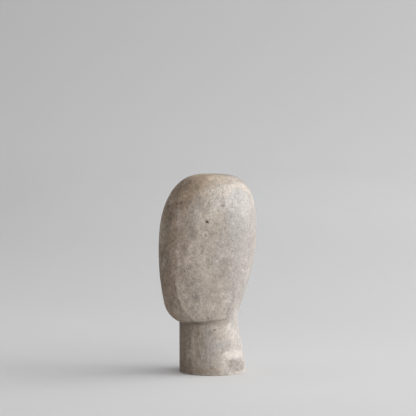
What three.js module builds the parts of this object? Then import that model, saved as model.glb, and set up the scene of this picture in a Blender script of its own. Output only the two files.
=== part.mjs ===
// Carved stone head: an egg-shaped, faceless head with flattened cheeks, cut
// from one block together with its short round neck. Millimetres, +Z up.
// The origin is the centre of the flat underside; the front of the head looks
// to -Y, the nape to +Y, and the left and right sides are mirror images in X.
import * as THREE from 'three';

// ---- driving dimensions (mm) ----------------------------------------------
const HEIGHT = 328.6;        // underside to the middle of the crown
const CROWN_RISE = 2.6;      // how much the crown domes between its rim and its middle
const RIM_SOFT = 3.0;        // softness of the crown's rim

const HEAD_FRONT = 90.4;     // reach of the head in front of the neck's axis
const HEAD_BACK = 71.9;      // reach behind the axis
const HEAD_SIDE = 57.6;      // half of the head's width
const LEVEL_FRONT = 196.8;   // height at which each reach is at its widest
const LEVEL_BACK = 231.1;
const LEVEL_SIDE = 225.0;
const DOME_FRONT = 134.4;    // height of each dome curve above that level
const DOME_BACK = 98.5;
const DOME_SIDE = 111.0;
const POW_FRONT = 2.54;      // fullness of each dome curve (2 is an ellipse)
const POW_BACK = 2.90;
const POW_SIDE = 2.2;

const FACE_LEAN = 17.2;      // how far the front runs back by the jaw's level
const NAPE_IN = 37.8;        // how far the back runs in, 150 below LEVEL_BACK
const NAPE_POW = 1.65;

const JAW_Z = 82.5;          // level of the jaw's underside at the front
const CHEEK_LIFT = 6.0;      // how much higher it is under the cheeks
const NAPE_LIFT = 6.0;       // and how much higher again at the nape
const CHIN_IN = 24.0;        // chin rounding: depth and height
const CHIN_UP = 30.7;
const CHEEK_IN = [7.0, 9.0]; // rounding under the cheeks, and toward the nape: depth
const CHEEK_UP = [11.0, 34.0];   // and height
const UNDERCUT = [8.0, 0.5]; // how fast the head runs in below that: flat shelf, soft slope

const FACE_R = 67.0;         // plan radius of the front, which meets the sides in a crease
const FACE_R_LOW = 74.0;     // the same near the jaw
const CREASE_SOFT = 15.0;    // blend at the crease in the upper head
const CREASE_HARD = 1.6;     // and near the jaw
const CREASE_FADE = [145, 190];  // heights between which it goes from hard to soft
const SIDE_RUN = 1.28;       // virtual front reach of the side curve, over the front's
const SIDE_POW = 2.2;        // plan curve of the sides
const BACK_POW = [1.95, 2.45];   // plan curve of the back, low and high

const NECK_R = 56.0;         // neck radius at the underside
const NECK_R_TOP = 48.4;     // and at NECK_TOP, with the front line kept vertical
const NECK_TOP = 90.0;
const NECK_BLEND = [2, 12, 7];   // softness of the joint with the head: side, rear quarter, nape
const ARRIS = 1.2;           // rounded edge of the underside

const AXIS_Y = -5.0;         // the radii below are measured from this vertical axis

// ---- mesh layout -----------------------------------------------------------
const HALF = 34;             // columns from the front line to the nape line
const CREASE_COL = 11;       // the column that follows the crease
const NECK_RINGS = 9;
const LOW_RINGS = 13;        // jaw to MID_Z
const MID_RINGS = 21;        // MID_Z to HIGH_Z
const TOP_RINGS = 11;        // HIGH_Z to the middle of the crown
const MID_Z = 140;
const HIGH_Z = 312;

// ---- small curves ----------------------------------------------------------
const clamp = (x, a, b) => Math.min(Math.max(x, a), b);
const ease = (x) => { const t = clamp(x, 0, 1); return t * t * (3 - 2 * t); };
const lerp = (a, b, t) => a + (b - a) * t;
const softMin = (a, b, k) => {
  const h = clamp(0.5 + 0.5 * (b - a) / k, 0, 1);
  return lerp(b, a, h) - k * h * (1 - h);
};
const softMax = (a, b, k) => -softMin(-a, -b, k);
const rad = (d) => d * Math.PI / 180;

// dome curve: 1 at its widest level, 0 at its top
const dome = (z, level, rise, pow) => {
  const u = clamp((z - level) / rise, 0, 0.9999);
  return Math.pow(1 - Math.pow(u, pow), 1 / pow);
};
// quarter-ellipse rounding of a lower edge: 0 above it, 1 at the edge's end
const rounding = (z, up) => {
  const t = clamp((JAW_Z + up - z) / up, 0, 1);
  return 1 - Math.sqrt(1 - t * t);
};
// 0 along the jaw's sharp shelf, 1 where the head runs softly into the nape
const napeShare = (th) => ease((th - rad(84)) / rad(44));
const jawLift = (th) => CHEEK_LIFT * ease((th - rad(10)) / rad(45))
  + NAPE_LIFT * ease((th - rad(60)) / rad(80));

// plan radius of the front curve, and of the side-and-back curve, at the angle
// th from the front line and the height z
function planCurves(th, z) {
  const c = Math.cos(th), s = Math.sin(th);
  const zl = z - jawLift(th) * ease((150 - z) / 55);
  const full = HEAD_FRONT * dome(z, LEVEL_FRONT, DOME_FRONT, POW_FRONT);
  const low = Math.max(LEVEL_FRONT - zl, 0) / (LEVEL_FRONT - JAW_Z);
  const front = full - FACE_LEAN * low * low - CHIN_IN * rounding(zl, CHIN_UP);
  const back = HEAD_BACK * dome(z, LEVEL_BACK, DOME_BACK, POW_BACK)
    - NAPE_IN * Math.pow(Math.max(LEVEL_BACK - z, 0) / 150, NAPE_POW);
  const side = HEAD_SIDE * dome(z, LEVEL_SIDE, DOME_SIDE, POW_SIDE)
    - lerp(CHEEK_IN[0], CHEEK_IN[1], napeShare(th))
    * rounding(zl, lerp(CHEEK_UP[0], CHEEK_UP[1], napeShare(th)));

  const R = lerp(FACE_R_LOW, FACE_R, ease((z - 150) / 50)) * clamp(full / HEAD_FRONT, 0.2, 1);
  const d = front - R + AXIS_Y;
  let face = d * c + Math.sqrt(Math.max(R * R - d * d * s * s, 1));
  face += 40 * Math.pow(Math.max((th - rad(40)) / rad(50), 0), 3);

  const run = SIDE_RUN * Math.max(full, 5) + AXIS_Y;
  const rear = Math.max(back - AXIS_Y, 5);
  const p = c >= 0 ? SIDE_POW : lerp(BACK_POW[0], BACK_POW[1], ease((z - 90) / 110));
  const reach = c >= 0 ? run : rear;
  const flank = Math.pow(
    Math.pow(Math.abs(s) / side, p) + Math.pow(Math.abs(c) / reach, p), -1 / p);
  return { face, flank, scale: clamp(front / HEAD_FRONT, 0.3, 1) };
}

function headRadius(th, z) {
  const { face, flank, scale } = planCurves(th, z);
  const k = lerp(CREASE_HARD, CREASE_SOFT,
    ease((z - CREASE_FADE[0]) / (CREASE_FADE[1] - CREASE_FADE[0])));
  const r = softMin(face, flank, k * scale);
  const fall = lerp(UNDERCUT[0], UNDERCUT[1], napeShare(th));
  return Math.max(r - fall * Math.max(JAW_Z + jawLift(th) - z, 0), 5);
}

function neckRadius(th, z) {
  const R = lerp(NECK_R, NECK_R_TOP, z / NECK_TOP);
  const d = NECK_R - R + AXIS_Y;
  const s = Math.sin(th);
  const worn = ARRIS * (1 - Math.sqrt(1 - Math.pow(clamp((ARRIS - z) / ARRIS, 0, 1), 2)));
  return d * Math.cos(th) + Math.sqrt(R * R - d * d * s * s) - worn
    - 70 * ease((z - 112) / 40);
}

const neckBlend = (th) => NECK_BLEND[0]
  + (NECK_BLEND[1] - NECK_BLEND[0]) * ease((th - rad(72)) / rad(40))
  - (NECK_BLEND[1] - NECK_BLEND[2]) * ease((th - rad(140)) / rad(35));
const radius = (th, z) => softMax(headRadius(th, z), neckRadius(th, z), neckBlend(th));

// ---- where the crease and the jaw line run ----------------------------------
function bisect(f, a, b, steps = 30) {
  for (let i = 0; i < steps; i++) {
    const m = 0.5 * (a + b);
    if (f(m) < 0) a = m; else b = m;
  }
  return 0.5 * (a + b);
}
const creaseAngle = (z) => {
  const h = clamp(z, 96, 300);
  return clamp(bisect((t) => {
    const { face, flank } = planCurves(t, h);
    return face - flank;
  }, rad(18), rad(62)), rad(28), rad(56));
};
// angle of column j (0 is the front line, HALF the nape line) at the height z
const columnAngle = (j, z) => {
  const tc = creaseAngle(z);
  return j <= CREASE_COL
    ? tc * j / CREASE_COL
    : lerp(tc, Math.PI, (j - CREASE_COL) / (HALF - CREASE_COL));
};
// height at which the head's underside meets the neck in column j
const jawHeight = (j) => {
  const th = columnAngle(j, 96);
  return clamp(bisect((z) => headRadius(th, z) - neckRadius(th, z), 70, 125), 78, 100);
};
// height of the crown's surface at the radius r, given the rim's radius there
function crownHeight(th, r) {
  const rimZ = HEIGHT - CROWN_RISE;
  const rim = radius(th, rimZ);
  const wall = r < rim * 0.6 ? HEIGHT + 20
    : bisect((z) => r - radius(th, z), HIGH_Z - 6, HEIGHT + 1);
  return softMin(wall, HEIGHT - CROWN_RISE * Math.pow(r / rim, 2), RIM_SOFT);
}

// ---- rings of points, from the underside to the crown -----------------------
const jaw = Array.from({ length: HALF + 1 }, (_, j) => jawHeight(j));
const rings = [];
const addRing = (point) => {
  const half = [];
  for (let j = 0; j <= HALF; j++) half.push(point(j));
  const ring = half.map(([th, r, z]) =>
    new THREE.Vector3(r * Math.sin(th), AXIS_Y - r * Math.cos(th), z));
  for (let j = HALF - 1; j > 0; j--) {
    const p = ring[j];
    ring.push(new THREE.Vector3(-p.x, p.y, p.z));
  }
  rings.push(ring);
};
const at = (j, z) => {
  const th = columnAngle(j, z);
  return [th, radius(th, z), z];
};

for (const z of [0, 0.35 * ARRIS, ARRIS]) addRing((j) => at(j, z));
for (let i = 1; i <= NECK_RINGS; i++) {
  const t = 1 - Math.pow(1 - i / NECK_RINGS, 1.7);
  addRing((j) => at(j, lerp(ARRIS, jaw[j] - 0.6, t)));
}
for (let i = 0; i < LOW_RINGS; i++) {
  const t = Math.pow(i / LOW_RINGS, 1.6);
  addRing((j) => at(j, lerp(jaw[j] + 0.6, MID_Z, t)));
}
for (let i = 0; i <= MID_RINGS; i++) {
  const t = i / MID_RINGS;
  addRing((j) => at(j, lerp(MID_Z, HIGH_Z, 1.25 * t - 0.25 * t * t)));
}
for (let i = 1; i < TOP_RINGS; i++) {
  const q = 1 - Math.pow(i / TOP_RINGS, 1.25);
  addRing((j) => {
    const [th, r] = at(j, HIGH_Z);
    return [th, r * q, crownHeight(th, r * q)];
  });
}

// ---- one closed surface ------------------------------------------------------
function closeSurface(ringList, bottom, top) {
  const n = ringList[0].length;
  const points = [bottom, ...ringList.flat(), top];
  const last = points.length - 1;
  const id = (i, j) => 1 + i * n + (j % n);
  const faces = [];
  for (let j = 0; j < n; j++) faces.push(0, id(0, j + 1), id(0, j));
  for (let i = 0; i + 1 < ringList.length; i++) {
    for (let j = 0; j < n; j++) {
      const a = id(i, j), b = id(i, j + 1), c = id(i + 1, j + 1), d = id(i + 1, j);
      // the shorter diagonal keeps the creases clean
      if (points[a].distanceTo(points[c]) <= points[b].distanceTo(points[d])) {
        faces.push(a, b, c, a, c, d);
      } else {
        faces.push(a, b, d, b, c, d);
      }
    }
  }
  const m = ringList.length - 1;
  for (let j = 0; j < n; j++) faces.push(id(m, j), id(m, j + 1), last);
  const geometry = new THREE.BufferGeometry();
  geometry.setAttribute('position', new THREE.Float32BufferAttribute(
    points.flatMap((p) => [p.x, p.y, p.z]), 3));
  geometry.setIndex(faces);
  geometry.computeVertexNormals();
  return geometry;
}

const head = new THREE.Mesh(
  closeSurface(rings, new THREE.Vector3(0, 0, 0), new THREE.Vector3(0, AXIS_Y, HEIGHT)),
  new THREE.MeshStandardMaterial({ color: 0xc4b5a5, roughness: 0.9, metalness: 0 }));
head.name = 'head_sculpture';

const sculpture = new THREE.Group();
sculpture.add(head);
export default sculpture;
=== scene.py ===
import math

import bpy
import numpy as np
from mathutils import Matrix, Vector


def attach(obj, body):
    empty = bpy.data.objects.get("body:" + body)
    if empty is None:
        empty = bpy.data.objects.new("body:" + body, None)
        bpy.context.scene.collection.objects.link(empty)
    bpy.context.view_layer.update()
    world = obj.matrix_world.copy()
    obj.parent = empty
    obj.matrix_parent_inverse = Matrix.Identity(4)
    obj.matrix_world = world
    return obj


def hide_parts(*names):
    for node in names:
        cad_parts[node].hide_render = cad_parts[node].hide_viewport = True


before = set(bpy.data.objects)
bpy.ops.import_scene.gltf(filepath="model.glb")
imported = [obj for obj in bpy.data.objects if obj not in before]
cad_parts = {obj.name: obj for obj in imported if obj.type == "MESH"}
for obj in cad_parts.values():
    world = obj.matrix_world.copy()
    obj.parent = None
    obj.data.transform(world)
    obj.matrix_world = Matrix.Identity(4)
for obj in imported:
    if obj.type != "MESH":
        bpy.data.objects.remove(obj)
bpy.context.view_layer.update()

# ---------------------------------------------------------------------------
# The carved surface. Working units are millimetres; the mesh is in metres.
# Front of the head to -Y, nape to +Y, +Z up, origin at the underside's centre.
# ---------------------------------------------------------------------------
HEIGHT = 328.6          # underside to the middle of the crown
CROWN_RISE = 2.6        # doming of the crown between its rim and its middle
RIM_SOFT = 3.0

HEAD_FRONT, LEVEL_FRONT, DOME_FRONT, POW_FRONT = 90.4, 196.8, 134.4, 2.54
HEAD_BACK, LEVEL_BACK, DOME_BACK, POW_BACK = 71.9, 231.1, 98.5, 2.90
HEAD_SIDE, LEVEL_SIDE, DOME_SIDE, POW_SIDE = 57.6, 225.0, 111.0, 2.2

FACE_LEAN = 17.2
NAPE_IN, NAPE_POW = 37.8, 1.65
JAW_Z, CHEEK_LIFT, NAPE_LIFT = 82.5, 6.0, 6.0
CHIN_IN, CHIN_UP = 24.0, 30.7
CHEEK_IN, CHEEK_UP, UNDERCUT = (7.0, 9.0), (11.0, 34.0), (8.0, 0.5)

FACE_R, FACE_R_LOW = 67.0, 74.0
CREASE_SOFT, CREASE_HARD = 15.0, 1.6
CREASE_FADE = (145.0, 190.0)
SIDE_RUN, SIDE_POW = 1.28, 2.2
BACK_POW = (1.95, 2.45)

NECK_R, NECK_R_TOP, NECK_TOP = 56.0, 48.4, 90.0
NECK_BLEND = (2.0, 12.0, 7.0)
ARRIS = 1.2
AXIS_Y = -5.0

rng = np.random.default_rng(29)


def ease(x):
    t = np.clip(x, 0.0, 1.0)
    return t * t * (3 - 2 * t)


def lerp(a, b, t):
    return a + (b - a) * t


def soft_min(a, b, k):
    h = np.clip(0.5 + 0.5 * (b - a) / k, 0, 1)
    return lerp(b, a, h) - k * h * (1 - h)


def soft_max(a, b, k):
    return -soft_min(-a, -b, k)


def dome(z, level, rise, power):
    u = np.clip((z - level) / rise, 0, 0.9999)
    return (1 - u ** power) ** (1 / power)


def rounding(z, up):
    t = np.clip((JAW_Z + up - z) / up, 0, 1)
    return 1 - np.sqrt(1 - t * t)


def nape_share(th):
    return ease((th - math.radians(84)) / math.radians(44))


def joint_share(th):
    return ease((th - math.radians(72)) / math.radians(40))


def jaw_lift(th):
    return (CHEEK_LIFT * ease((th - math.radians(10)) / math.radians(45))
            + NAPE_LIFT * ease((th - math.radians(60)) / math.radians(80)))


def plan_curves(th, z):
    c, s = np.cos(th), np.sin(th)
    zl = z - jaw_lift(th) * ease((150 - z) / 55)
    full = HEAD_FRONT * dome(z, LEVEL_FRONT, DOME_FRONT, POW_FRONT)
    low = np.maximum(LEVEL_FRONT - zl, 0) / (LEVEL_FRONT - JAW_Z)
    front = full - FACE_LEAN * low * low - CHIN_IN * rounding(zl, CHIN_UP)
    back = (HEAD_BACK * dome(z, LEVEL_BACK, DOME_BACK, POW_BACK)
            - NAPE_IN * (np.maximum(LEVEL_BACK - z, 0) / 150) ** NAPE_POW)
    side = (HEAD_SIDE * dome(z, LEVEL_SIDE, DOME_SIDE, POW_SIDE)
            - lerp(CHEEK_IN[0], CHEEK_IN[1], nape_share(th))
            * rounding(zl, lerp(CHEEK_UP[0], CHEEK_UP[1], nape_share(th))))
    R = lerp(FACE_R_LOW, FACE_R, ease((z - 150) / 50)) * np.clip(full / HEAD_FRONT, 0.2, 1)
    d = front - R + AXIS_Y
    face = d * c + np.sqrt(np.maximum(R * R - d * d * s * s, 1))
    face = face + 40 * np.maximum((th - math.radians(40)) / math.radians(50), 0) ** 3
    run = SIDE_RUN * np.maximum(full, 5) + AXIS_Y
    rear = np.maximum(back - AXIS_Y, 5)
    p = np.where(c >= 0, SIDE_POW, lerp(BACK_POW[0], BACK_POW[1], ease((z - 90) / 110)))
    reach = np.where(c >= 0, run, rear)
    flank = ((np.abs(s) / side) ** p + (np.abs(c) / reach) ** p) ** (-1 / p)
    return face, flank, np.clip(front / HEAD_FRONT, 0.3, 1)


def head_radius(th, z):
    face, flank, scale = plan_curves(th, z)
    k = lerp(CREASE_HARD, CREASE_SOFT,
             ease((z - CREASE_FADE[0]) / (CREASE_FADE[1] - CREASE_FADE[0])))
    r = soft_min(face, flank, k * scale)
    fall = lerp(UNDERCUT[0], UNDERCUT[1], nape_share(th))
    return np.maximum(r - fall * np.maximum(JAW_Z + jaw_lift(th) - z, 0), 5)


def neck_radius(th, z):
    R = lerp(NECK_R, NECK_R_TOP, z / NECK_TOP)
    d = NECK_R - R + AXIS_Y
    s = np.sin(th)
    worn = ARRIS * (1 - np.sqrt(1 - np.clip((ARRIS - z) / ARRIS, 0, 1) ** 2))
    return (d * np.cos(th) + np.sqrt(np.maximum(R * R - d * d * s * s, 1)) - worn
            - 70 * ease((z - 112) / 40))


def radius(th, z):
    k = (NECK_BLEND[0]
         + (NECK_BLEND[1] - NECK_BLEND[0]) * joint_share(th)
         - (NECK_BLEND[1] - NECK_BLEND[2]) * ease((th - math.radians(140)) / math.radians(35)))
    return soft_max(head_radius(th, z), neck_radius(th, z), k)


def bisect(f, a, b, steps=26):
    a, b = np.array(a, float), np.array(b, float)
    for _ in range(steps):
        m = 0.5 * (a + b)
        low = f(m) < 0
        a = np.where(low, m, a)
        b = np.where(low, b, m)
    return 0.5 * (a + b)


def crease_angle(z):
    h = np.clip(z, 96, 300)

    def gap(t):
        face, flank, _ = plan_curves(t, h)
        return face - flank
    lo = np.full(h.shape, math.radians(18))
    hi = np.full(h.shape, math.radians(62))
    return np.clip(bisect(gap, lo, hi), math.radians(28), math.radians(56))


def crown_height(th, r):
    rim = radius(th, np.full(r.shape, HEIGHT - CROWN_RISE))
    wall = bisect(lambda z: r - radius(th, z),
                  np.full(r.shape, 306.0), np.full(r.shape, HEIGHT + 1.0), 22)
    wall = np.where(r < rim * 0.6, HEIGHT + 20, wall)
    return soft_min(wall, HEIGHT - CROWN_RISE * (r / rim) ** 2, RIM_SOFT)


# ---- base grid ------------------------------------------------------------
HALF = 84                 # columns from the front line to the nape line
CREASE_COL = 30
HIGH_Z = 312.0


def build_grid():
    j = np.arange(HALF + 1)

    def angles(z):
        tc = crease_angle(z)
        return np.where(j <= CREASE_COL, tc * j / CREASE_COL,
                        lerp(tc, math.pi, (j - CREASE_COL) / (HALF - CREASE_COL)))

    th96 = angles(np.full(HALF + 1, 96.0))
    jaw = bisect(lambda z: head_radius(th96, z) - neck_radius(th96, z),
                 np.full(HALF + 1, 70.0), np.full(HALF + 1, 125.0))
    jaw = np.clip(jaw, 78.0, 100.0)
    rings = []

    def add(th, r, z):
        half = np.stack([r * np.sin(th), AXIS_Y - r * np.cos(th), z], 1)
        other = half[-2:0:-1].copy()
        other[:, 0] *= -1
        rings.append(np.vstack([half, other]))

    def side(z):
        th = angles(z)
        add(th, radius(th, z), z)

    one = np.ones(HALF + 1)
    for z in (0.0, 0.25, 0.7, ARRIS):
        side(z * one)
    n = 36
    for i in range(1, n + 1):
        side(lerp(ARRIS, jaw - 0.5, 1 - (1 - i / n) ** 1.3))
    n = 34
    for i in range(n):
        side(lerp(jaw + 0.5, 140.0 * one, (i / n) ** 1.35))
    n = 74
    for i in range(n + 1):
        t = i / n
        side(lerp(140.0, HIGH_Z, 1.15 * t - 0.15 * t * t) * one)
    first_top = len(rings)
    th = angles(HIGH_Z * one)
    r0 = radius(th, HIGH_Z * one)
    n = 34
    for i in range(1, n):
        q = 1 - (i / n) ** 1.15
        add(th, r0 * q, crown_height(th, r0 * q))
    return rings, first_top


def mesh_arrays():
    rings, first_top = build_grid()
    m = rings[0].shape[0]
    pts = [np.array([[0.0, 0.0, 0.0]])] + rings + [np.array([[0.0, AXIS_Y, HEIGHT]])]
    p = np.vstack(pts)
    top = np.zeros(len(p), bool)
    top[1 + first_top * m:] = True
    base = np.zeros(len(p), bool)
    base[:1 + m] = True
    nr = len(rings)
    i, j = np.meshgrid(np.arange(nr - 1), np.arange(m), indexing="ij")
    a = 1 + i * m + j
    b = 1 + i * m + (j + 1) % m
    c = b + m
    d = a + m
    a, b, c, d = (x.ravel() for x in (a, b, c, d))
    ac = np.linalg.norm(p[a] - p[c], axis=1)
    bd = np.linalg.norm(p[b] - p[d], axis=1)
    k = (ac <= bd)[:, None]
    t1 = np.where(k, np.stack([a, b, c], 1), np.stack([a, b, d], 1))
    t2 = np.where(k, np.stack([a, c, d], 1), np.stack([b, c, d], 1))
    jj = np.arange(m)
    cap0 = np.stack([np.zeros(m, int), 1 + (jj + 1) % m, 1 + jj], 1)
    last = len(p) - 1
    o = 1 + (nr - 1) * m
    cap1 = np.stack([o + jj, o + (jj + 1) % m, np.full(m, last)], 1)
    tris = np.vstack([t1, t2, cap0, cap1])
    return p, tris, top, base


def true_surface(p, top, base):
    """Moves split points on to the exact carved surface."""
    out = p.copy()
    dx, dy = p[:, 0], p[:, 1] - AXIS_Y
    th = np.arctan2(np.abs(dx), -dy)
    r = np.hypot(dx, dy)
    free = ~base & (r > 1e-6)
    s = free & ~top
    rr = radius(th[s], p[s, 2])
    k = rr / r[s]
    out[s, 0] = dx[s] * k
    out[s, 1] = AXIS_Y + dy[s] * k
    t = free & top
    out[t, 2] = crown_height(th[t], r[t])
    return out


def split(p, tris, top, base, target):
    """Splits every edge longer than its own target length, keeping the surface closed."""
    e = np.vstack([tris[:, [0, 1]], tris[:, [1, 2]], tris[:, [2, 0]]])
    e.sort(axis=1)
    uniq, inv = np.unique(e, axis=0, return_inverse=True)
    inv = inv.reshape(-1)
    mid = 0.5 * (p[uniq[:, 0]] + p[uniq[:, 1]])
    length = np.linalg.norm(p[uniq[:, 0]] - p[uniq[:, 1]], axis=1)
    cut = length > target(mid)
    index = np.full(len(uniq), -1)
    index[cut] = len(p) + np.arange(cut.sum())
    new = mid[cut]
    ntop = top[uniq[cut, 0]] & top[uniq[cut, 1]]
    nbase = base[uniq[cut, 0]] & base[uniq[cut, 1]]
    new = true_surface(new, ntop, nbase)
    p = np.vstack([p, new])
    top = np.concatenate([top, ntop])
    base = np.concatenate([base, nbase])
    n = len(tris)
    m = index[inv].reshape(3, n).T          # midpoints of edges 01, 12, 20
    has = m >= 0
    count = has.sum(1)
    out = [tris[count == 0]]
    for k in range(3):
        r = [k, (k + 1) % 3, (k + 2) % 3]
        one = (count == 1) & has[:, r[0]]
        v, mm = tris[one][:, r], m[one][:, r]
        out.append(np.stack([v[:, 0], mm[:, 0], v[:, 2]], 1))
        out.append(np.stack([mm[:, 0], v[:, 1], v[:, 2]], 1))
        two = (count == 2) & has[:, r[0]] & has[:, r[1]]
        v, mm = tris[two][:, r], m[two][:, r]
        out.append(np.stack([mm[:, 0], v[:, 1], mm[:, 1]], 1))
        out.append(np.stack([v[:, 0], mm[:, 0], mm[:, 1]], 1))
        out.append(np.stack([v[:, 0], mm[:, 1], v[:, 2]], 1))
    three = count == 3
    v, mm = tris[three], m[three]
    out.append(np.stack([v[:, 0], mm[:, 0], mm[:, 2]], 1))
    out.append(np.stack([mm[:, 0], v[:, 1], mm[:, 1]], 1))
    out.append(np.stack([mm[:, 2], mm[:, 1], v[:, 2]], 1))
    out.append(mm)
    return p, np.vstack(out), top, base


def vertex_normals(p, tris):
    n = np.cross(p[tris[:, 1]] - p[tris[:, 0]], p[tris[:, 2]] - p[tris[:, 0]])
    out = np.zeros_like(p)
    for k in range(3):
        np.add.at(out, tris[:, k], n)
    return out / np.maximum(np.linalg.norm(out, axis=1, keepdims=True), 1e-12)


# ---- pits, chips and unevenness --------------------------------------------
def lattice_noise(p, cell, seed):
    """Smooth value noise in -1..1 on a seeded lattice of the given cell size."""
    q = p / cell
    i = np.floor(q).astype(np.int64)
    f = q - i
    f = f * f * f * (f * (f * 6 - 15) + 10)
    total = np.zeros(len(p))
    for dx in (0, 1):
        for dy in (0, 1):
            for dz in (0, 1):
                h = ((i[:, 0] + dx) * 73856093) ^ ((i[:, 1] + dy) * 19349663) \
                    ^ ((i[:, 2] + dz) * 83492791) ^ (seed * 2654435761)
                h = (h ^ (h >> 13)) * 1274126177
                h = (h ^ (h >> 16)) & 0xFFFFFF
                v = h / float(0xFFFFFF) * 2 - 1
                w = (f[:, 0] if dx else 1 - f[:, 0]) \
                    * (f[:, 1] if dy else 1 - f[:, 1]) \
                    * (f[:, 2] if dz else 1 - f[:, 2])
                total += w * v
    return total


def surface_point(side, z, along):
    """A point on the surface at the angle `along` (degrees from the front line)."""
    th = np.array([math.radians(along)])
    r = radius(th, np.array([float(z)]))[0]
    return np.array([side * r * math.sin(th[0]), AXIS_Y - r * math.cos(th[0]), z])


# placed marks: (side, height, degrees from the front line, radius, depth)
PITS = [
    (1, 253.0, 77.1, 2.5, 1.9), (1, 278.5, 104.6, 1.3, 0.8), (1, 281.6, 36.7, 1.3, 0.8),
    (1, 74.9, 91.6, 1.5, 1.0), (1, 231.5, 75.0, 1.1, 0.5), (1, 160.0, 58.0, 1.2, 0.7),
    (1, 121.0, 96.0, 1.2, 0.7), (1, 205.0, 118.0, 1.3, 0.7), (1, 300.0, 62.0, 1.1, 0.6),
    (-1, 262.0, 96.0, 1.9, 1.3), (-1, 188.0, 70.0, 1.4, 0.9), (-1, 141.0, 112.0, 1.3, 0.8),
    (-1, 292.0, 128.0, 1.2, 0.7), (-1, 60.0, 84.0, 1.5, 0.9), (1, 236.0, 10.0, 1.4, 0.8),
    (-1, 172.0, 14.0, 1.2, 0.7), (1, 30.0, 172.0, 1.3, 0.8), (-1, 220.0, 168.0, 1.5, 0.9),
    (1, 264.2, 46.0, 1.0, 0.55), (1, 274.0, 70.0, 1.0, 0.5), (1, 280.4, 82.0, 0.9, 0.5),
    (1, 269.1, 87.0, 1.1, 0.55), (1, 288.4, 64.0, 1.0, 0.5), (1, 253.0, 54.0, 0.9, 0.5),
    (1, 261.0, 84.0, 0.9, 0.5), (1, 309.8, 24.0, 1.1, 0.6), (1, 294.8, 57.0, 1.0, 0.5),
    (1, 297.7, 41.0, 1.0, 0.55), (1, 257.7, 92.0, 1.0, 0.5), (1, 245.0, 66.0, 0.9, 0.5),
]
N_RANDOM_PITS = 190


def scatter_pits(p, tris):
    """Small random pits, spread evenly over the carved surface but not the underside."""
    v = p[tris]
    n = np.cross(v[:, 1] - v[:, 0], v[:, 2] - v[:, 0])
    area = np.linalg.norm(n, axis=1)
    area[v[:, :, 2].max(1) < 3] = 0
    # pits gather in loose groups, as they do in the stone
    mid = v.mean(1)
    area = area * (0.35 + 1.3 * np.clip(lattice_noise(mid, 42.0, 5) + 0.35, 0, 1))
    pick = rng.choice(len(tris), N_RANDOM_PITS, p=area / area.sum())
    w = rng.dirichlet((1, 1, 1), N_RANDOM_PITS)
    centre = (v[pick] * w[:, :, None]).sum(1)
    size = 0.55 + 0.75 * rng.random(N_RANDOM_PITS) ** 2.2
    depth = size * (0.35 + 0.3 * rng.random(N_RANDOM_PITS))
    return centre, size, depth


def pit_table(p, tris):
    centre, size, depth = scatter_pits(p, tris)
    placed = np.array([surface_point(s, z, a) for s, z, a, _, _ in PITS])
    centre = np.vstack([placed, centre])
    size = np.concatenate([[q[3] for q in PITS], size])
    depth = np.concatenate([[q[4] for q in PITS], depth])
    return centre, size, depth


def pit_field(p, pits, reach=1.0):
    """Signed inward depth of the pits, and how near each point is to one."""
    centre, size, depth = pits
    down = np.zeros(len(p))
    near = np.zeros(len(p))
    order = np.argsort(p[:, 2])
    zs = p[order, 2]
    for c, s, d in zip(centre, size, depth):
        lo, hi = np.searchsorted(zs, [c[2] - 2.2 * s - 1, c[2] + 2.2 * s + 1])
        k = order[lo:hi]
        v = p[k] - c
        # a little irregular: each pit is a stretched, leaning bowl
        a = (c[0] * 12.9898 + c[1] * 78.233 + c[2] * 37.719) % math.pi
        u = v[:, 2] * math.cos(a) + (v[:, 0] + v[:, 1]) * math.sin(a) * 0.7
        dist = np.sqrt(np.maximum((v ** 2).sum(1) + 0.45 * u * u, 0)) / s
        down[k] = np.maximum(down[k], d * (1 - ease((dist - 0.25) / 0.85)))
        near[k] = np.maximum(near[k], 1 - ease((dist - 0.9) / 0.6))
    return down, near


def under_jaw_painted_shade(p):
    """Painted shade: 1 in the crevice just under the jaw, fading down the neck and toward the nape."""
    dx, dy = p[:, 0], p[:, 1] - AXIS_Y
    th = np.arctan2(np.abs(dx), -dy)
    table = np.linspace(0, math.pi, 181)
    rim = bisect(lambda z: head_radius(table, z) - neck_radius(table, z),
                 np.full(181, 70.0), np.full(181, 125.0))
    below = np.interp(th, table, rim) - p[:, 2]
    line = ease((below + 0.4) / 3.0) * (1 - ease((below - 3.0) / 5.4))
    return (line * (1 - ease((th - math.radians(68)) / math.radians(52)))
            * (1 - 0.45 * ease((math.radians(56) - th) / math.radians(30))))


def nape_shade(p):
    """Mask for painted shade: 1 down the middle of the back of the head, 0 on its sides and on the neck."""
    th = np.arctan2(np.abs(p[:, 0]), -(p[:, 1] - AXIS_Y))
    return ease((th - math.radians(124)) / math.radians(44)) * ease((p[:, 2] - 92) / 24)


def ridge_highlight_and_shade(p):
    """The cheek's ridge: a painted highlight on its side face, painted shade on its front face."""
    dx, dy, z = p[:, 0], p[:, 1] - AXIS_Y, p[:, 2]
    th = np.arctan2(np.abs(dx), -dy)
    d = (th - crease_angle(z)) * np.hypot(dx, dy)
    low = ease((z - 98) / 34) * ease((190 - z) / 45)
    high = ease((z - 95) / 22) * ease((295 - z) / 40)
    return (np.exp(-((d - 1.4) / 2.2) ** 2) * (0.6 * low + 0.4 * high),
            np.exp(-((d + 2.6) / 2.2) ** 2) * low)


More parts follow.
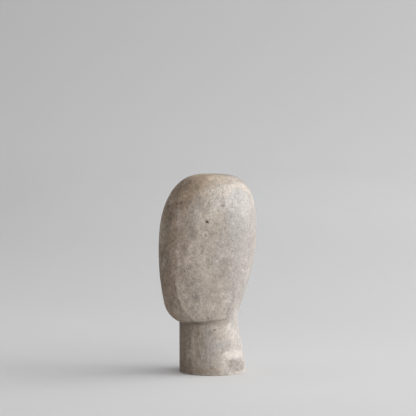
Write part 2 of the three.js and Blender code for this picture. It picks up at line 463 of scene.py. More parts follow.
def build_head():
    p, tris, top, base = mesh_arrays()
    pits = pit_table(p, tris)
    centre, size, _ = pits

    def near_pit(q):
        """Smallest (distance / radius) to a pit, and that pit's radius."""
        best = np.full(len(q), 9.0)
        rad = np.full(len(q), 9.0)
        order = np.argsort(q[:, 2])
        zs = q[order, 2]
        for c, s in zip(centre, size):
            lo, hi = np.searchsorted(zs, [c[2] - 3 * s - 2, c[2] + 3 * s + 2])
            k = order[lo:hi]
            d = np.linalg.norm(q[k] - c, axis=1) / s
            better = d < best[k]
            best[k] = np.where(better, d, best[k])
            rad[k] = np.where(better, s, rad[k])
        return best, rad

    def target(q):
        d, s = near_pit(q)
        fine = np.where(d < 1.25, 0.42 * s, 9.0)
        body = np.where(q[:, 2] < 0.01, 90.0, 2.35)
        return np.minimum(body, fine)

    for _ in range(5):
        p, tris, top, base = split(p, tris, top, base, target)

    n = vertex_normals(p, tris)
    down, near = pit_field(p, pits)
    # hand-worked unevenness, always inward so the outline stays inside the frame
    broad = 0.30 + 0.20 * lattice_noise(p, 52.0, 1) + 0.10 * lattice_noise(p, 21.0, 2)
    grain = 0.05 + 0.045 * lattice_noise(p, 6.0, 3) + 0.035 * lattice_noise(p, 2.6, 4)
    # worn and chipped edges: bend of the surface over a few millimetres
    edges = np.vstack([tris[:, [0, 1]], tris[:, [1, 2]], tris[:, [2, 0]]])
    lap = np.zeros_like(p)
    cnt = np.zeros(len(p))
    np.add.at(lap, edges[:, 0], n[edges[:, 1]] - n[edges[:, 0]])
    np.add.at(cnt, edges[:, 0], np.linalg.norm(p[edges[:, 1]] - p[edges[:, 0]], axis=1))
    np.add.at(lap, edges[:, 1], n[edges[:, 0]] - n[edges[:, 1]])
    np.add.at(cnt, edges[:, 1], np.linalg.norm(p[edges[:, 1]] - p[edges[:, 0]], axis=1))
    e0, e1 = edges[:, 0], edges[:, 1]
    dp = p[e1] - p[e0]
    bend = ((n[e1] - n[e0]) * dp).sum(1) / np.maximum((dp * dp).sum(1), 1e-9)
    curv = np.zeros(len(p))
    num = np.zeros(len(p))
    np.add.at(curv, e0, bend)
    np.add.at(num, e0, 1)
    np.add.at(curv, e1, bend)
    np.add.at(num, e1, 1)
    curv = curv / np.maximum(num, 1)
    for _ in range(3):                      # spread it over the neighbours
        acc = curv.copy()
        w = np.ones(len(p))
        np.add.at(acc, e0, curv[e1])
        np.add.at(acc, e1, curv[e0])
        np.add.at(w, e0, 1)
        np.add.at(w, e1, 1)
        curv = acc / w
    sharp = np.clip((curv - 0.045) / 0.12, 0, 1)
    chip = sharp * (np.clip(lattice_noise(p, 7.0, 6) + 0.15, 0, 1) * 0.75
                    + np.clip(lattice_noise(p, 3.2, 7), 0, 1) * 0.35)
    fade = ease(p[:, 2] / 3.0) * 0.85 + 0.15
    inward = (broad + grain) * fade + chip + down
    inward[base & (p[:, 2] < 0.01)] = 0.0
    q = p - n * inward[:, None]
    ring = p[:, 2] < 0.01
    q[ring] = p[ring]
    q[:, 2] = np.where(ring, 0.0, np.maximum(q[:, 2], 0.0))
    return q, tris, down, np.clip(curv / 0.2, -1, 1), under_jaw_painted_shade(p), ridge_highlight_and_shade(p), nape_shade(p)


def add_mesh(name, p, tris, attributes):
    me = bpy.data.meshes.new(name)
    me.vertices.add(len(p))
    me.vertices.foreach_set("co", (p * 0.001).astype(np.float32).ravel())
    me.loops.add(len(tris) * 3)
    me.loops.foreach_set("vertex_index", tris.astype(np.int32).ravel())
    me.polygons.add(len(tris))
    me.polygons.foreach_set("loop_start", np.arange(0, len(tris) * 3, 3, dtype=np.int32))
    me.update(calc_edges=True)
    me.validate()
    for key, values in attributes.items():
        layer = me.attributes.new(key, "FLOAT", "POINT")
        layer.data.foreach_set("value", values.astype(np.float32))
    me.shade_smooth()
    ob = bpy.data.objects.new(name, me)
    bpy.context.scene.collection.objects.link(ob)
    return ob


points, faces, pit_depth, bend, jaw_painted_shade, ridge, nape = build_head()
head = add_mesh("carved_head", points, faces,
                {"pit": np.clip(pit_depth / 0.6, 0, 1), "bend": bend * 0.5 + 0.5,
                 "jaw_painted_shade": jaw_painted_shade, "ridge_painted_highlight": ridge[0], "ridge_painted_shade": ridge[1], "nape": nape})
print("carved_head", len(points), "points", len(faces), "triangles")
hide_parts("head_sculpture")
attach(head, "root")

# ---------------------------------------------------------------------------
# Stone material. Coordinates are the object's own, in millimetres.
# ---------------------------------------------------------------------------
stone = bpy.data.materials.new("worn_limestone")
stone.use_nodes = True
nt = stone.node_tree
bsdf = nt.nodes["Principled BSDF"]


def put(socket, value):
    if isinstance(value, bpy.types.NodeSocket):
        nt.links.new(value, socket)
    else:
        socket.default_value = value


def new(kind, **props):
    n = nt.nodes.new(kind)
    for k, v in props.items():
        setattr(n, k, v)
    return n


def math_node(op, a, b=None, c=None, clamp=False):
    n = new("ShaderNodeMath", operation=op, use_clamp=clamp)
    put(n.inputs[0], a)
    if b is not None:
        put(n.inputs[1], b)
    if c is not None:
        put(n.inputs[2], c)
    return n.outputs[0]


def vec(op, a, b=None):
    n = new("ShaderNodeVectorMath", operation=op)
    put(n.inputs[0], a)
    if b is not None:
        put(n.inputs[1], b)
    return n.outputs["Value"] if op in ("LENGTH", "DOT_PRODUCT", "DISTANCE") else n.outputs["Vector"]


def remap(value, lo, hi, to_lo=0.0, to_hi=1.0):
    n = new("ShaderNodeMapRange", interpolation_type="SMOOTHSTEP")
    put(n.inputs["Value"], value)
    n.inputs["From Min"].default_value = lo
    n.inputs["From Max"].default_value = hi
    n.inputs["To Min"].default_value = to_lo
    n.inputs["To Max"].default_value = to_hi
    return n.outputs["Result"]


def noise(at, size, detail=3.0, rough=0.6, distort=0.0, seed=0.0, colour=False):
    """Noise whose broadest features are about `size` millimetres apart."""
    n = new("ShaderNodeTexNoise", noise_dimensions="4D")
    put(n.inputs["Vector"], at)
    n.inputs["W"].default_value = seed
    n.inputs["Scale"].default_value = 1.0 / size
    n.inputs["Detail"].default_value = detail
    n.inputs["Roughness"].default_value = rough
    n.inputs["Distortion"].default_value = distort
    return n.outputs["Color" if colour else "Fac"]


def blend(fac, a, b, mode="MIX"):
    n = new("ShaderNodeMix", data_type="RGBA", blend_type=mode)
    put(n.inputs["Factor"], fac)
    put(n.inputs[6], a)
    put(n.inputs[7], b)
    return n.outputs[2]


def rgb(r, g, b):
    return (r, g, b, 1.0)


mm = new("ShaderNodeVectorMath", operation="SCALE")
put(mm.inputs[0], new("ShaderNodeTexCoord").outputs["Object"])
mm.inputs["Scale"].default_value = 1000.0
here = mm.outputs["Vector"]
xyz = new("ShaderNodeSeparateXYZ")
put(xyz.inputs[0], here)
X, Y, Z = xyz.outputs

# positions pushed about by noise, so that no patch has a ruled edge
push = vec("SUBTRACT", noise(here, 26.0, 3.0, 0.6, seed=3.0, colour=True), (0.5, 0.5, 0.5))
push_n = new("ShaderNodeVectorMath", operation="SCALE")
put(push_n.inputs[0], push)
push_n.inputs["Scale"].default_value = 34.0
warped = vec("ADD", here, push_n.outputs["Vector"])


def patch(centre, radii, soft=0.45, at=None):
    """1 inside a noise-edged ellipsoid, 0 outside."""
    d = vec("SUBTRACT", warped if at is None else at, centre)
    d = vec("DIVIDE", d, radii)
    return remap(vec("LENGTH", d), 1.0 + soft, 1.0 - soft)


def shell(centre, radii, width, at=None):
    """1 on a noise-edged ellipsoid's skin, 0 away from it."""
    d = vec("SUBTRACT", warped if at is None else at, centre)
    d = vec("DIVIDE", d, radii)
    off = math_node("ABSOLUTE", math_node("SUBTRACT", vec("LENGTH", d), 1.0))
    return remap(off, width, 0.0)


def scale(fac, by):
    return math_node("MULTIPLY", fac, by)


GREIGE = rgb(0.430, 0.372, 0.326)
CREAM = rgb(0.600, 0.525, 0.440)
TAN = rgb(0.500, 0.388, 0.282)
BROWN = rgb(0.355, 0.265, 0.192)
COOL = rgb(0.470, 0.443, 0.422)
CHALK = rgb(0.640, 0.590, 0.540)
SHADE_SIDE_UMBER = rgb(0.208, 0.165, 0.130)
TAUPE = rgb(0.265, 0.225, 0.195)

clouds = noise(here, 48.0, 5.0, 0.62, 0.6, seed=1.0)
flecks = noise(here, 13.0, 5.0, 0.75, 0.4, seed=5.0)
col = blend(remap(clouds, 0.36, 0.66), GREIGE, blend(0.35, GREIGE, CREAM))

# browner stone on the front of the head and of the neck, darkened further as painted shade on the side turned
# away from the key lights
front = math_node("ADD", math_node("MULTIPLY", Y, -0.022),
                  math_node("MULTIPLY", clouds, 1.3))
col = blend(scale(remap(front, 1.35, 2.45), 0.85), col, BROWN)
front_edge_brown_and_shade = remap(math_node("ADD", Y, scale(clouds, 14.0)), -60.0, -82.0)
col = blend(scale(front_edge_brown_and_shade, 0.42), col, SHADE_SIDE_UMBER)
neck_front_brown_and_shade = math_node("MULTIPLY", remap(Z, 96.0, 80.0),
                       remap(math_node("ADD", Y, scale(clouds, 40.0)), 6.0, -22.0))
col = blend(scale(neck_front_brown_and_shade, 0.46), col, BROWN)
neck_edge_brown_and_shade = math_node("MULTIPLY", remap(Z, 88.0, 80.0),
                      remap(math_node("ADD", Y, scale(clouds, 9.0)), -31.5, -40.5))
col = blend(scale(neck_edge_brown_and_shade, 0.55), col, SHADE_SIDE_UMBER)

# tan crown
crown = math_node("ADD", math_node("MULTIPLY", Z, 0.02), math_node("MULTIPLY", flecks, 0.9))
col = blend(scale(remap(crown, 6.05, 6.9), 0.78), col, TAN)
upper_front = math_node("ADD", math_node("MULTIPLY", Z, 0.02), math_node("MULTIPLY", Y, -0.030))
upper_front = math_node("ADD", upper_front, math_node("MULTIPLY", flecks, 1.2))
col = blend(scale(remap(upper_front, 7.1, 8.3), 0.42), col, TAN)
# paler, cooler stone toward the nape side, partly painted light on the side toward the key lights
rear = math_node("ADD", math_node("MULTIPLY", Y, 0.016), scale(flecks, 0.9))
col = blend(scale(remap(rear, 0.40, 1.15), 0.88), col, COOL)

# the clouded patch behind the temple, with its pale rim (and a fainter one on the far side)
for side, gain in ((1, 1.0), (-1, 0.7)):
    c0, r0 = (side * 45.0, 42.0, 264.0), (40.0, 32.0, 46.0)
    col = blend(scale(patch(c0, r0, 0.3), 0.75 * gain), col, COOL)
    rim = math_node("MULTIPLY", shell(c0, (43.0, 35.0, 49.0), 0.13),
                    remap(Z, 255.0, 292.0))
    rim = math_node("MULTIPLY", rim, remap(flecks, 0.33, 0.55))
    col = blend(scale(rim, 0.95 * gain), col, CHALK)

PEACH = rgb(0.710, 0.630, 0.556)
MIST = rgb(0.625, 0.600, 0.572)
ROSE = rgb(0.600, 0.500, 0.445)
DARK = rgb(0.150, 0.125, 0.108)
UMBER = rgb(0.210, 0.158, 0.116)
SLATE = rgb(0.365, 0.336, 0.316)

# placed pale and dark patches: centre, radii, colour, strength
PATCHES = [
    ((34, -52, 299), (22, 26, 32), BROWN, 0.78),
    ((28, -28, 318), (22, 24, 12), BROWN, 0.42),
    ((10, -58, 312), (26, 20, 22), UMBER, 0.50),
    ((50, -14, 40), (15, 20, 36), SLATE, 0.40),
    ((45, 10, 294), (17, 23, 25), CHALK, 0.70),
    ((27, 8, 321), (18, 18, 9), CREAM, 0.50),
    # the umber patch at (24, -72, 278): browner stone, darkened further as painted shade
    ((24, -72, 278), (18, 16, 24), UMBER, 0.34),
    ((40, 34, 268), (16, 20, 20), CHALK, 0.22),
    ((40, 40, 287), (17, 22, 22), MIST, 0.56),
    ((56, -8, 246), (12, 22, 32), CREAM, 0.32),
    ((50, -39, 258), (8, 9, 22), TAUPE, 0.32),
    # the next three umber patches, on the front face: browner stone, darkened further as painted shade
    ((26, -86, 250), (22, 12, 32), SHADE_SIDE_UMBER, 0.48),
    ((38, -75, 260), (10, 9, 13), SHADE_SIDE_UMBER, 0.24),
    ((32, -84, 194), (16, 12, 14), SHADE_SIDE_UMBER, 0.34),
    ((43, 34, 142), (17, 18, 30), TAUPE, 0.28),
    ((30, 26, 318), (18, 22, 8), CREAM, 0.36),
    ((44, 20, 299), (10, 13, 10), MIST, 0.38),
    ((56, -27, 232), (8, 9, 17), CREAM, 0.30),
    ((57, 3, 180), (9, 12, 12), CREAM, 0.25),
    ((53, 2, 24), (9, 12, 18), CREAM, 0.30),
    # umber at the foot of the neck's front: browner stone, darkened further as painted shade
    ((24, -52, 10), (12, 8, 9), SHADE_SIDE_UMBER, 0.30),
    ((54, -9, 262), (12, 13, 17), CREAM, 0.40),
    ((40, 46, 206), (24, 28, 40), TAUPE, 0.16),
    ((56, -37, 200), (16, 9, 26), CREAM, 0.35),
    ((56, -33, 122), (8, 9, 22), TAUPE, 0.22),
    ((57, -20, 112), (12, 18, 9), CREAM, 0.30),
    ((52, -59, 142), (8, 5, 26), CREAM, 0.35),
    ((57, 7, 214), (10, 6, 34), COOL, 0.40),
    ((57, -2, 192), (10, 7, 22), COOL, 0.35),
    ((56, 13, 174), (12, 14, 18), TAUPE, 0.16),
    ((52, 1, 47), (12, 9, 10), COOL, 0.45),
    ((46, -28, 56), (11, 9, 32), BROWN, 0.42),
    ((-55, -20, 232), (14, 16, 26), CREAM, 0.50),
    ((-56, 22, 176), (14, 18, 24), TAUPE, 0.30),
    ((-50, -52, 150), (12, 12, 22), CREAM, 0.35),
    ((-34, -50, 299), (22, 26, 30), BROWN, 0.45),
    ((-45, 10, 294), (17, 23, 24), CHALK, 0.35),
    ((-40, 34, 60), (18, 16, 16), CHALK, 0.60),
    ((-48, -10, 24), (16, 20, 11), TAUPE, 0.45),
    ((6, 68, 214), (24, 12, 26), CREAM, 0.50),
    ((-12, 60, 160), (18, 14, 20), TAUPE, 0.30),
    ((10, -90, 232), (22, 14, 24), CREAM, 0.28),
    ((-14, -84, 140), (18, 14, 18), TAUPE, 0.25),
]
for centre, radii, colour, strength in PATCHES:
    col = blend(scale(patch(centre, radii), strength), col, colour)

# smaller marks with closely broken edges: centre, radii, colour, strength
nudge = vec("SUBTRACT", noise(here, 7.0, 3.0, 0.6, seed=33.0, colour=True), (0.5, 0.5, 0.5))
nudge = vec("ADD", here, vec("MULTIPLY", nudge, (11.0, 11.0, 11.0)))
MARKS = [
    # pale rim of the clouded patch over the shoulder of the head, strengthened as a painted highlight, and its
    # trail
    ((44.6, 10.2, 299.2), (8, 8, 6), PEACH, 0.72), ((42.6, 17.1, 302.8), (7, 7, 6), PEACH, 0.75),
    ((38.2, 22.7, 308.5), (9, 9, 4.5), PEACH, 0.70), ((33.5, 31.5, 310.6), (9, 9, 4.5), PEACH, 0.70),
    ((29.2, 40.6, 311.0), (9, 9, 4.5), PEACH, 0.70), ((27.0, 48.0, 307.0), (9, 8, 5), PEACH, 0.65),
    ((24.6, 54.6, 300.7), (9, 7, 7), PEACH, 0.36), ((20.9, 63.6, 285.5), (10, 7, 10), PEACH, 0.20),
    ((50.2, 1.1, 285.0), (7, 8, 7), CHALK, 0.62), ((52.6, -4.2, 275.5), (7, 7, 8), CHALK, 0.55),
    ((54.5, -11.0, 265.0), (7, 7, 6), CREAM, 0.45),
    # pale blotches and streaks of the cheek
    ((52.5, -33.8, 267.6), (6, 5.5, 5), CREAM, 0.44), ((57.4, -11.4, 222.0), (7, 6, 6), CREAM, 0.72),
    ((54.3, -43.9, 209.0), (6, 4, 9), ROSE, 0.78), ((53.3, -48.7, 187.7), (6, 6, 9), ROSE, 0.72),
    ((57.0, -24.5, 178.0), (6, 6, 10), CREAM, 0.38), ((57.1, -21.3, 199.2), (6, 5, 9), CREAM, 0.68),
    ((48.3, -62.8, 195.6), (5, 2.8, 24), CREAM, 0.62), ((43.2, -63.8, 260.7), (5, 2.6, 17), CREAM, 0.45),
    ((56.1, -17.8, 253.0), (5, 3.6, 3.4), DARK, 0.50),
    # the taupe spot at (55.4, -37.0, 100.0) is painted shade on the cheek's lower rim
    ((57.4, -13.1, 112.2), (8, 9, 7), CREAM, 0.38), ((55.4, -37.0, 100.0), (8, 7, 5), TAUPE, 0.30),
    # dark smudges
    ((37.6, -31.7, 309.0), (6, 5, 5), DARK, 0.42), ((51.2, 9.2, 280.1), (5, 4, 4), DARK, 0.40),
    ((55.1, -39.1, 231.9), (6, 5.5, 8), DARK, 0.34), ((56.8, -27.8, 204.2), (5, 3.4, 4), DARK, 0.26),
    ((57.4, 0.1, 194.0), (5, 3.6, 4), DARK, 0.24), ((39.7, -58.4, 283.2), (4, 2.6, 2.6), DARK, 0.50),
    ((45.7, -44.3, 283.5), (4, 2.6, 2.6), DARK, 0.40), ((55.6, -22.4, 262.5), (5, 2.6, 2.4), DARK, 0.28),
    # the two taupe patches at (48.3, 21.3, 105.6) and (53.5, 12.0, 104.0) are painted shade where the back of the
    # cheek turns under
    ((48.3, 21.3, 105.6), (11, 9, 13), TAUPE, 0.42), ((53.5, 12.0, 104.0), (8, 6, 5), TAUPE, 0.25),
    # the neck: cream above, a stained patch below it, grey between
    ((41.1, 20.7, 78.3), (9, 6, 6), CHALK, 0.60), ((36.6, 29.7, 63.5), (10, 8, 11), CHALK, 0.46),
    # the taupe patch at (49.0, 9.0, 86.0) is painted shade: the jaw's shadow on the neck
    ((49.0, 9.0, 86.0), (9, 16, 5), TAUPE, 0.38), ((39.5, -38.0, 44.0), (7, 4, 24), CREAM, 0.38),
    ((50.9, 6.0, 46.9), (5, 5, 6), COOL, 0.55), ((44.0, 22.0, 33.0), (13, 17, 6.5), CHALK, 0.90), ((49.0, 14.0, 26.0), (10, 11, 8), CHALK, 0.34),
    ((34.0, 40.0, 33.0), (12, 10, 6), CHALK, 0.66), ((46.0, 24.0, 18.5), (6, 5, 5), TAUPE, 0.45), ((45.5, 24.0, 22.5), (5, 2.4, 3), DARK, 0.44),
    ((42.5, 31.0, 22.0), (5, 2.4, 3), DARK, 0.44), ((38.5, 37.0, 20.0), (5, 2.6, 3), DARK, 0.35),
    ((41.0, 33.0, 9.0), (6, 4, 3), DARK, 0.24), ((43.0, 29.0, 14.0), (6, 4, 4), DARK, 0.26),
    ((52.5, 8.0, 14.0), (8, 9, 11), CHALK, 0.44), ((54.2, -6.0, 9.0), (9, 12, 5), BROWN, 0.40),
    ((47.9, -28.3, 8.0), (12, 14, 5), BROWN, 0.50), ((49.4, -11.5, 71.6), (4, 2.6, 1.8), DARK, 0.50),
    ((49.7, -6.0, 74.6), (4, 2.2, 1.8), DARK, 0.45), ((46.0, 14.0, 52.0), (8, 6, 9), COOL, 0.40),
    # the far side and the back
    ((-52.0, 3.0, 282.0), (7, 7, 6), CHALK, 0.50), ((-44.0, 30.0, 300.0), (10, 10, 5), PEACH, 0.50),
    ((-56.5, -24.0, 206.0), (6, 6, 9), CREAM, 0.40), ((-55.0, 20.0, 222.0), (6, 6, 8), ROSE, 0.45),
    ((-57.0, -4.0, 240.0), (5, 4, 5), DARK, 0.30), ((-55.0, -36.0, 176.0), (5, 4, 5), DARK, 0.26),
    ((-49.0, 6.0, 70.0), (9, 8, 7), CREAM, 0.50), ((-36.0, 38.0, 22.0), (11, 9, 8), TAUPE, 0.60),
    ((14.0, 66.0, 250.0), (7, 6, 7), CREAM, 0.45), ((-8.0, 64.0, 190.0), (6, 6, 6), DARK, 0.26),
    ((2.0, 50.0, 44.0), (16, 8, 7), CHALK, 0.60), ((-12.0, 49.0, 20.0), (12, 8, 8), TAUPE, 0.50),
    ((18.0, -90.0, 262.0), (6, 6, 8), CREAM, 0.35), ((-22.0, -90.0, 204.0), (6, 6, 9), ROSE, 0.35),
    ((8.0, -92.0, 176.0), (6, 5, 6), DARK, 0.28),
]
for centre, radii, colour, strength in MARKS:
    col = blend(scale(patch(centre, radii, 0.5, nudge), strength), col, colour)

# the stain at the foot of the neck, closely mottled
for centre, radii in (((43.5, 28.5, 14.5), (12, 13, 10)), ((33.0, 42.0, 14.0), (14, 12, 10))):
    stain = math_node("MULTIPLY", patch(centre, radii, 0.5, nudge),
                      remap(noise(here, 5.5, 3.0, 0.7, seed=43.0), 0.40, 0.58, 0.40, 1.0))
    col = blend(scale(stain, 0.70), col, TAUPE)

# a small pale ring
off = vec("DIVIDE", vec("SUBTRACT", nudge, (57.0, -19.8, 231.8)), (9.0, 5.0, 5.6))
off = vec("LENGTH", off)
ring = remap(math_node("ABSOLUTE", math_node("SUBTRACT", off, 0.85)), 0.50, 0.05)
ring = math_node("MULTIPLY", ring, remap(noise(here, 4.5, 3.0, 0.7, seed=37.0), 0.34, 0.56, 0.35, 1.0))
col = blend(scale(remap(off, 1.9, 1.2), 0.40), col, TAUPE)
col = blend(scale(ring, 0.90), col, PEACH)

# thin wandering veins, drawn out up and down
stretched = vec("MULTIPLY", here, (1.0, 1.0, 0.42))
vein = math_node("ABSOLUTE", math_node("SUBTRACT", noise(stretched, 30.0, 4.0, 0.62, 1.2, seed=12.0), 0.5))
vein = math_node("MULTIPLY", remap(vein, 0.030, 0.004), remap(noise(here, 40.0, 2.0, 0.5, seed=14.0), 0.42, 0.62))
col = blend(scale(vein, 0.40), col, CHALK)
grey_vein = math_node("ABSOLUTE", math_node("SUBTRACT", noise(stretched, 24.0, 4.0, 0.6, 1.0, seed=17.0), 0.5))
grey_vein = math_node("MULTIPLY", remap(grey_vein, 0.040, 0.006),
                      remap(noise(here, 36.0, 2.0, 0.5, seed=18.0), 0.45, 0.60))
col = blend(scale(grey_vein, 0.30), col, TAUPE)

# mottling from broad to fine: each layer makes the stone lighter or darker
tone = None
for size, amount, seed in ((19.0, 0.26, 21.0), (8.5, 0.42, 22.0), (4.2, 0.60, 23.0), (2.1, 0.72, 24.0), (1.0, 0.66, 25.0)):
    layer = math_node("MULTIPLY", math_node("SUBTRACT", noise(here, size, 1.5, 0.5, 0.3, seed=seed), 0.5), amount)
    tone = layer if tone is None else math_node("ADD", tone, layer)
# the browner front is the more strongly speckled
tone = math_node("MULTIPLY", tone, remap(Y, -20.0, -75.0, 1.0, 1.45))
tone = math_node("MULTIPLY", tone, remap(Y, 10.0, 45.0, 1.0, 0.79))
tone = math_node("MULTIPLY", tone, remap(Z, 92.0, 78.0, 1.0, 0.82))
tone = math_node("ADD", tone, 1.0)

# dark and pale grains
cells = new("ShaderNodeTexVoronoi", voronoi_dimensions="3D", feature="F1")
put(cells.inputs["Vector"], vec("ADD", here, vec("MULTIPLY", push, (3.0, 3.0, 3.0))))
cells.inputs["Scale"].default_value = 1.0 / 3.1
cells.inputs["Randomness"].default_value = 1.0
pick = new("ShaderNodeSeparateColor")
put(pick.inputs[0], cells.outputs["Color"])
dot = remap(cells.outputs["Distance"], 0.34, 0.16)
dark_dot = math_node("MULTIPLY", dot, remap(pick.outputs[0], 0.86, 0.90))
pale_dot = math_node("MULTIPLY", dot, remap(pick.outputs[1], 0.84, 0.90))
tone = math_node("MULTIPLY", tone, math_node("SUBTRACT", 1.0, scale(dark_dot, 0.27)))
tone = math_node("MULTIPLY", tone, math_node("ADD", 1.0, scale(pale_dot, 0.30)))

tone_rgb = new("ShaderNodeCombineColor")
for k in range(3):
    put(tone_rgb.inputs[k], tone)
col = blend(1.0, col, tone_rgb.outputs[0], "MULTIPLY")

# dust and painted shade in the pits, pale wear and a painted highlight on the bends
pit = new("ShaderNodeAttribute", attribute_name="pit").outputs["Fac"]
bends = new("ShaderNodeAttribute", attribute_name="bend").outputs["Fac"]
col = blend(scale(remap(pit, 0.15, 0.95), 0.72), col, rgb(0.075, 0.060, 0.048))
# pale wear on the convex bends, also a painted highlight along the edges
bend_wear_and_highlight = math_node("MULTIPLY", remap(bends, 0.62, 0.95), remap(flecks, 0.35, 0.60))
col = blend(scale(bend_wear_and_highlight, 0.40), col, CREAM)
# painted shade in the concave creases
crease_painted_shade = remap(bends, 0.42, 0.20)
col = blend(scale(crease_painted_shade, 0.30), col, TAUPE)
# painted shade down the middle of the back of the head
nape = new("ShaderNodeAttribute", attribute_name="nape").outputs["Fac"]
col = blend(scale(nape, 0.30), col, TAUPE)
# painted highlight along the ridge's side face, painted shade along its front face
ridge_painted_highlight = new("ShaderNodeAttribute", attribute_name="ridge_painted_highlight").outputs["Fac"]
ridge_painted_shade = new("ShaderNodeAttribute", attribute_name="ridge_painted_shade").outputs["Fac"]
broken = remap(noise(here, 9.0, 4.0, 0.7, seed=35.0), 0.36, 0.56, 0.35, 1.0)
col = blend(scale(math_node("MULTIPLY", ridge_painted_highlight, broken), 0.50), col, CREAM)
col = blend(scale(math_node("MULTIPLY", ridge_painted_shade, broken), 0.27), col, DARK)
# painted shade: the jaw's shadow on the top of the neck, put into the colour
broken_jaw_shade = new("ShaderNodeAttribute", attribute_name="jaw_painted_shade").outputs["Fac"]
broken_jaw_shade = math_node("MULTIPLY", broken_jaw_shade, remap(flecks, 0.25, 0.55, 0.75, 1.0))
col = blend(scale(broken_jaw_shade, 0.58), col, DARK)
put(bsdf.inputs["Base Color"], col)
put(bsdf.inputs["Roughness"], remap(noise(here, 6.0, 3.0, 0.6, seed=31.0), 0.3, 0.7, 0.74, 0.92))
bsdf.inputs["Specular IOR Level"].default_value = 0.32

grain = math_node("ADD", scale(noise(here, 3.4, 4.0, 0.65, seed=41.0), 1.0), scale(dark_dot, -0.35))
bump = new("ShaderNodeBump")
bump.inputs["Strength"].default_value = 0.55
bump.inputs["Distance"].default_value = 0.0009
put(bump.inputs["Height"], grain)
put(bsdf.inputs["Normal"], bump.outputs["Normal"])
head.data.materials.append(stone)

# ---------------------------------------------------------------------------
# Stage: one pale seamless sweep all round, soft studio light, the camera
# ---------------------------------------------------------------------------
def sweep(name, flat=5.2, rise=2.2, top=4.0, seg=96):
    """A round floor that curves up into a wall on every side."""
    prof = [(0.0, 0.0)]
    prof += [(flat * k / 12, 0.0) for k in range(1, 13)]
    for k in range(1, 17):
        a = math.pi / 2 * k / 16
        prof.append((flat + rise * math.sin(a), rise * (1 - math.cos(a))))
    prof.append((flat + rise, top))
    verts = [(0.0, 0.0, 0.0)]
    for r, z in prof[1:]:
        for k in range(seg):
            a = 2 * math.pi * k / seg
            verts.append((r * math.cos(a), r * math.sin(a), z))
    fcs = []
    for k in range(seg):
        fcs.append((0, 1 + k, 1 + (k + 1) % seg))
    for i in range(len(prof) - 2):
        for k in range(seg):
            a = 1 + i * seg + k
            b = 1 + i * seg + (k + 1) % seg
            fcs.append((a, a + seg, b + seg, b))
    me = bpy.data.meshes.new(name)
    me.from_pydata(verts, [], fcs)
    me.shade_smooth()
    ob = bpy.data.objects.new(name, me)
    bpy.context.scene.collection.objects.link(ob)
    return ob


floor = sweep("studio_sweep")
paper = bpy.data.materials.new("pale_sweep")
paper.use_nodes = True
pb = paper.node_tree.nodes["Principled BSDF"]
pb.inputs["Base Color"].default_value = (0.74, 0.74, 0.745, 1)
pb.inputs["Roughness"].default_value = 0.95
pb.inputs["Specular IOR Level"].default_value = 0.15
# painted light and shade on the paper: its tone rises and falls by a few percent with the distance from the
# middle, evening out the light on the sweep (metres, tone)
pt = paper.node_tree
flat_xy = pt.nodes.new("ShaderNodeVectorMath")
flat_xy.operation = "MULTIPLY"
flat_xy.inputs[1].default_value = (0.125, 0.125, 0.0)
far_off = pt.nodes.new("ShaderNodeVectorMath")
far_off.operation = "LENGTH"
sweep_painted_light = pt.nodes.new("ShaderNodeValToRGB")
pt.links.new(pt.nodes.new("ShaderNodeTexCoord").outputs["Object"], flat_xy.inputs[0])
pt.links.new(flat_xy.outputs["Vector"], far_off.inputs[0])
pt.links.new(far_off.outputs["Value"], sweep_painted_light.inputs["Fac"])
pt.links.new(sweep_painted_light.outputs["Color"], pb.inputs["Base Color"])
sweep_painted_light.color_ramp.interpolation = "B_SPLINE"
while len(sweep_painted_light.color_ramp.elements) > 1:
    sweep_painted_light.color_ramp.elements.remove(sweep_painted_light.color_ramp.elements[-1])
sweep_light_tones = [(2.2, 1.0), (3.1, 0.985), (3.9, 0.945), (4.4, 0.955), (5.0, 1.015), (5.45, 1.045), (5.9, 1.03),
         (6.3, 1.0), (6.7, 0.965), (7.3, 0.95)]
for k, (reach, t) in enumerate(sweep_light_tones):
    stop = sweep_painted_light.color_ramp.elements[0] if k == 0 else sweep_painted_light.color_ramp.elements.new(reach / 8)
    stop.position = reach / 8
    stop.color = (0.74 * t, 0.74 * t, 0.745 * t, 1.0)
floor.data.materials.append(paper)

AZIMUTH = 82.0                      # the photograph's viewing angle
PITCH = 4.4145
cam_data = bpy.data.cameras.new("camera")
cam_data.sensor_width = 36.0
cam_data.lens = 36.0 * 2400.0 / 416.0
cam_data.clip_end = 60.0
camera = bpy.data.objects.new("camera", cam_data)
camera.location = (3.91175, -0.55806, 0.57644)
camera.rotation_euler = (math.radians(90 - PITCH), 0, math.radians(AZIMUTH))
bpy.context.scene.collection.objects.link(camera)
bpy.context.scene.camera = camera


def softbox(name, bearing, elevation, distance, size, power, colour=(1, 1, 1)):
    """An area light; bearing 0 is the camera's side, positive to the photograph's right."""
    a = math.radians(AZIMUTH - 90 + bearing)
    e = math.radians(elevation)
    at = Vector((0, 0, 0.19))
    pos = at + distance * Vector((math.cos(a) * math.cos(e), math.sin(a) * math.cos(e), math.sin(e)))
    data = bpy.data.lights.new(name, "AREA")
    data.shape = "RECTANGLE"
    data.size, data.size_y = size
    data.energy = power
    data.color = colour
    ob = bpy.data.objects.new(name, data)
    ob.location = pos
    ob.rotation_euler = (at - pos).to_track_quat("-Z", "Y").to_euler()
    ob.visible_camera = False
    bpy.context.scene.collection.objects.link(ob)
    return ob


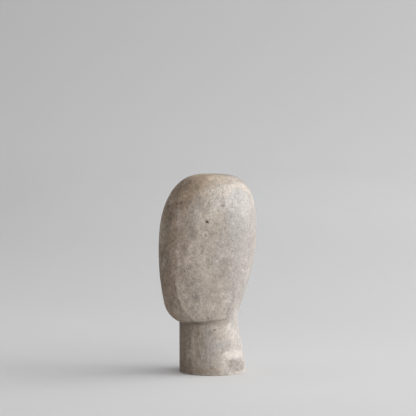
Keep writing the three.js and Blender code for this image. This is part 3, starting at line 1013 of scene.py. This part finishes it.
# name, bearing, elevation, distance, size, power, spread in degrees
for row in (("key", 75, 12, 4.2, (2.8, 1.3), 26.4, 84), ("key_near", 50, 25, 4.2, (2.8, 2.0), 5.8, 84),
            ("key_high", 100, 38, 4.2, (2.8, 2.0), 15.3, 84), ("key_rear", 130, 38, 4.2, (2.8, 2.0), 4.1, 84),
            ("fill", 25, 38, 4.2, (2.8, 2.0), 7.7, 84), ("overhead", 0, 88, 3.4, (2.4, 2.4), 8.7, 180),
            ("far_fill", -90, 62, 3.4, (2.4, 2.4), 17.2, 180)):
    lamp = softbox(*row[:6], (1.0, 0.995, 0.99))
    lamp.data.spread = math.radians(row[6])


def wall_light(name, bearing, out, height, aim_out, aim_height, size, power):
    """An area light set back from the object and aimed at a part of the sweep."""
    a = math.radians(AZIMUTH - 90 + bearing)
    d = Vector((math.cos(a), math.sin(a), 0))
    pos = d * out + Vector((0, 0, height))
    at = d * aim_out + Vector((0, 0, aim_height))
    data = bpy.data.lights.new(name, "AREA")
    data.shape = "RECTANGLE"
    data.size, data.size_y = size
    data.energy = power
    ob = bpy.data.objects.new(name, data)
    ob.location = pos
    ob.rotation_euler = (at - pos).to_track_quat("-Z", "Y").to_euler()
    ob.visible_camera = False
    bpy.context.scene.collection.objects.link(ob)


wall_light("backdrop", 150, 3.0, 3.4, 7.0, 0.7, (3.0, 1.6), 105)
wall_light("backdrop_low", 175, 4.2, 2.2, 6.4, 0.3, (4.0, 1.0), 11.7)
wall_light("backdrop_far", 200, 2.0, 3.8, 5.6, 0.0, (4.0, 1.0), 32.4)
for bearing, power in ((98, 62), (0, 54), (-82, 50)):    # the other walls, so that the sweep is lit all round
    wall_light("backdrop_side", bearing, 3.0, 3.4, 7.2, 1.4, (4.0, 1.6), power)
world = bpy.data.worlds.new("room")
world.use_nodes = True
bg = world.node_tree.nodes["Background"]
bg.inputs["Color"].default_value = (0.93, 0.96, 1.0, 1)
bg.inputs["Strength"].default_value = 0.03
bpy.context.scene.world = world
bpy.context.scene.view_settings.view_transform = "Standard"
